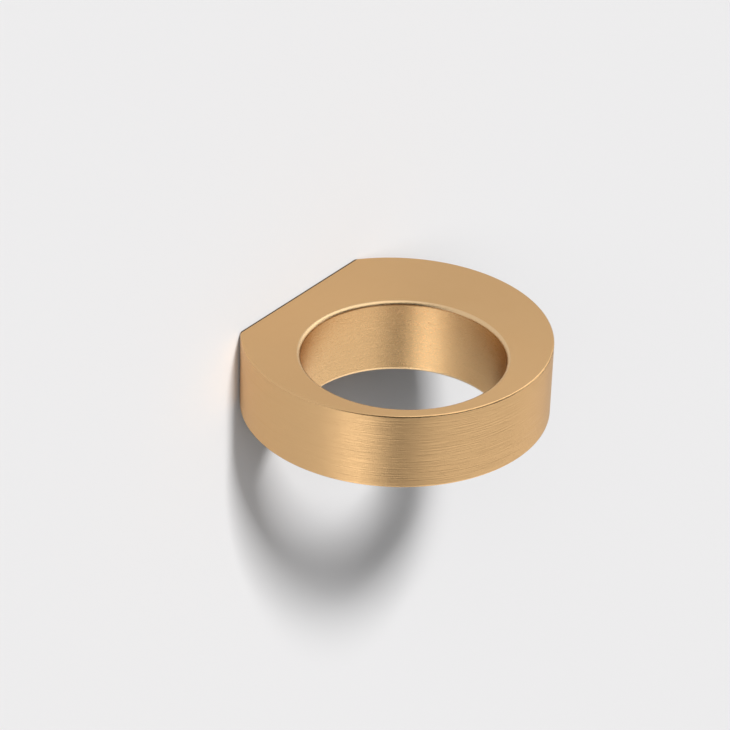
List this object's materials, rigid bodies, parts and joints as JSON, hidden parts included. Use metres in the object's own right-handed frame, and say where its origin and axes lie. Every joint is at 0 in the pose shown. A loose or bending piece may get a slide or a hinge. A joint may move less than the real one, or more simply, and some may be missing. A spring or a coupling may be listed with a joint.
{
  "type": "cabinet knob",
  "caption": "Solid brass ring knob for a drawer or cabinet front: a short ring with an off-centre finger bore and a flat mounting face with a threaded screw hole.",
  "frame": {"origin": "middle of the mounting flat, where the screw enters", "axes": "+X along the mounting flat, +Y along the finger bore and up in use, +Z straight out of the furniture front along the screw"},
  "size_m": [0.04, 0.0104, 0.0359],
  "materials": {
    "satin_brass": "fine brushed satin, clear lacquered"
  },
  "bodies": {
    "root": {"ring_knob": "satin_brass"}
  },
  "joints": []
}
